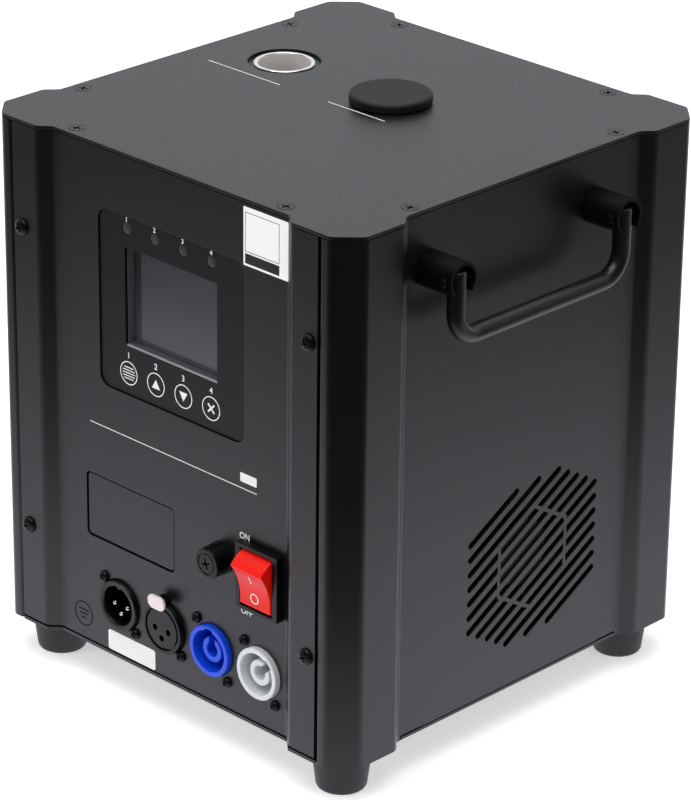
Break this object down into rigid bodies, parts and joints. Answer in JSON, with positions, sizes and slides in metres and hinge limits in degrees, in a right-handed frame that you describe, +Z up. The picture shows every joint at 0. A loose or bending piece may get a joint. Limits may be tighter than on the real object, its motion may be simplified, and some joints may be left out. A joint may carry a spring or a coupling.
{
  "type": "cold spark machine",
  "caption": "Square black sheet-steel stage spark machine with a nozzle and filler in its top, a display, keys, switch and sockets in front, and fold-down side handles.",
  "frame": {"origin": "on the floor, under the middle of the part's bounding box", "axes": "+X to the right seen from the front, +Y from the front panel to the rear, +Z up"},
  "size_m": [0.2502, 0.2252, 0.2653],
  "materials": {
    "powder_coat": "satin black fine-textured powder coat",
    "plated_steel": "zinc plated",
    "bright_steel": "bright stainless steel",
    "rubber": "matt black",
    "overlay": "fine matt, dark grey",
    "display_glass": "clear glossy cover over a grey screen",
    "smoked_plastic": "unlit smoked lens",
    "circuit_board": "green solder mask",
    "black_plastic": "moulded, satin",
    "red_plastic": "translucent orange-red, glossy",
    "blue_plastic": "moulded, satin",
    "white_plastic": "moulded, light grey",
    "gear_plastic": "moulded nylon",
    "fuse_glass": "glass tube with plated ends"
  },
  "bodies": {
    "housing": {"base_plate": "powder_coat", "top_plate": "powder_coat", "front_panel": "powder_coat", "rear_panel": "powder_coat", "right_side_shell": "powder_coat", "left_side_shell": "powder_coat", "right_handle_post_front": "powder_coat", "right_handle_post_rear": "powder_coat", "left_handle_post_front": "powder_coat", "left_handle_post_rear": "powder_coat", "right_handle_pin_front": "plated_steel", "right_handle_pin_rear": "plated_steel", "left_handle_pin_front": "plated_steel", "left_handle_pin_rear": "plated_steel", "foot_front_left": "rubber", "foot_front_right": "rubber", "foot_rear_left": "rubber", "foot_rear_right": "rubber", "control_overlay": "overlay", "display_window": "display_glass", "display_module": "black_plastic", "control_board": "circuit_board", "light_guide": "smoked_plastic", "cover_plate": "powder_coat", "switch_frame": "black_plastic", "fuse_holder": "black_plastic", "signal_in_socket": "black_plastic", "signal_in_pins": "plated_steel", "signal_out_socket": "black_plastic", "power_in_socket": "blue_plastic", "power_out_socket": "white_plastic", "nozzle": "bright_steel", "heated_barrel": "bright_steel", "heater_band": "plated_steel", "heat_shield": "plated_steel", "blower_housing": "black_plastic", "blower_motor": "plated_steel", "hopper": "plated_steel", "feed_tube": "bright_steel", "gear_motor": "plated_steel", "drive_bracket": "plated_steel", "fan_frame": "black_plastic", "power_supply": "plated_steel", "main_board": "circuit_board"},
    "right_handle": {"right_handle_bail": "powder_coat"},
    "left_handle": {"left_handle_bail": "powder_coat"},
    "menu_key": {"key_menu": "overlay"},
    "up_key": {"key_up": "overlay"},
    "down_key": {"key_down": "overlay"},
    "stop_key": {"key_stop": "overlay"},
    "rocker": {"switch_rocker": "red_plastic"},
    "fuse": {"fuse_link": "fuse_glass"},
    "fuse_knob": {"fuse_cap": "black_plastic"},
    "latch": {"signal_out_latch": "plated_steel"},
    "cap": {"filler_cap": "rubber"},
    "feed": {"feed_screw": "bright_steel", "feed_gear": "gear_plastic"},
    "pinion": {"motor_pinion": "plated_steel"},
    "impeller": {"blower_impeller": "black_plastic"},
    "fan": {"fan_rotor": "black_plastic"}
  },
  "joints": [
    {"name": "right_handle_hinge", "type": "hinge", "parent": "housing", "child": "right_handle", "pos_m": [0.1211, -0.00469, 0.2348], "axis": [0, -1, 0], "range_deg": [0, 90]},
    {"name": "left_handle_hinge", "type": "hinge", "parent": "housing", "child": "left_handle", "pos_m": [-0.1211, 0.00991, 0.2348], "axis": [0, 1, 0], "range_deg": [0, 90]},
    {"name": "menu_key_push", "type": "slide", "parent": "housing", "child": "menu_key", "axis": [0, 1, 0], "range_m": [0, 0.0004], "stiffness_N_per_m": 2000},
    {"name": "up_key_push", "type": "slide", "parent": "housing", "child": "up_key", "axis": [0, 1, 0], "range_m": [0, 0.0004], "stiffness_N_per_m": 2000},
    {"name": "down_key_push", "type": "slide", "parent": "housing", "child": "down_key", "axis": [0, 1, 0], "range_m": [0, 0.0004], "stiffness_N_per_m": 2000},
    {"name": "stop_key_push", "type": "slide", "parent": "housing", "child": "stop_key", "axis": [0, 1, 0], "range_m": [0, 0.0004], "stiffness_N_per_m": 2000},
    {"name": "rocker_tilt", "type": "hinge", "parent": "housing", "child": "rocker", "pos_m": [0.0565, -0.10159, 0.091], "axis": [-1, 0, 0], "range_deg": [0, 33]},
    {"name": "fuse_slide", "type": "slide", "parent": "housing", "child": "fuse", "axis": [0, -1, 0], "range_m": [0, 0.03]},
    {"name": "fuse_knob_turn", "type": "hinge", "parent": "fuse", "child": "fuse_knob", "pos_m": [0.0309, -0.107, 0.0923], "axis": [0, 1, 0], "range_deg": [0, 90]},
    {"name": "latch_push", "type": "slide", "parent": "housing", "child": "latch", "axis": [0, 1, 0], "range_m": [0, 0.0018], "stiffness_N_per_m": 1500},
    {"name": "cap_lift", "type": "slide", "parent": "housing", "child": "cap", "axis": [0, 0, 1], "range_m": [0, 0.03]},
    {"name": "feed_turn", "type": "hinge", "parent": "housing", "child": "feed", "pos_m": [0.05, 0.02811, 0.123], "axis": [1, 0, 0], "continuous": true},
    {"name": "pinion_turn", "type": "hinge", "parent": "housing", "child": "pinion", "pos_m": [0.05, 0.00111, 0.123], "axis": [1, 0, 0], "continuous": true},
    {"name": "impeller_turn", "type": "hinge", "parent": "housing", "child": "impeller", "pos_m": [-0.042, 0.02811, 0.063], "axis": [0, 1, 0], "continuous": true},
    {"name": "fan_turn", "type": "hinge", "parent": "housing", "child": "fan", "pos_m": [0.09, 0.01441, 0.0788], "axis": [1, 0, 0], "continuous": true}
  ],
  "couplings": [
    {"joint": "pinion_turn", "follows": "feed_turn", "ratio": -2}
  ]
}
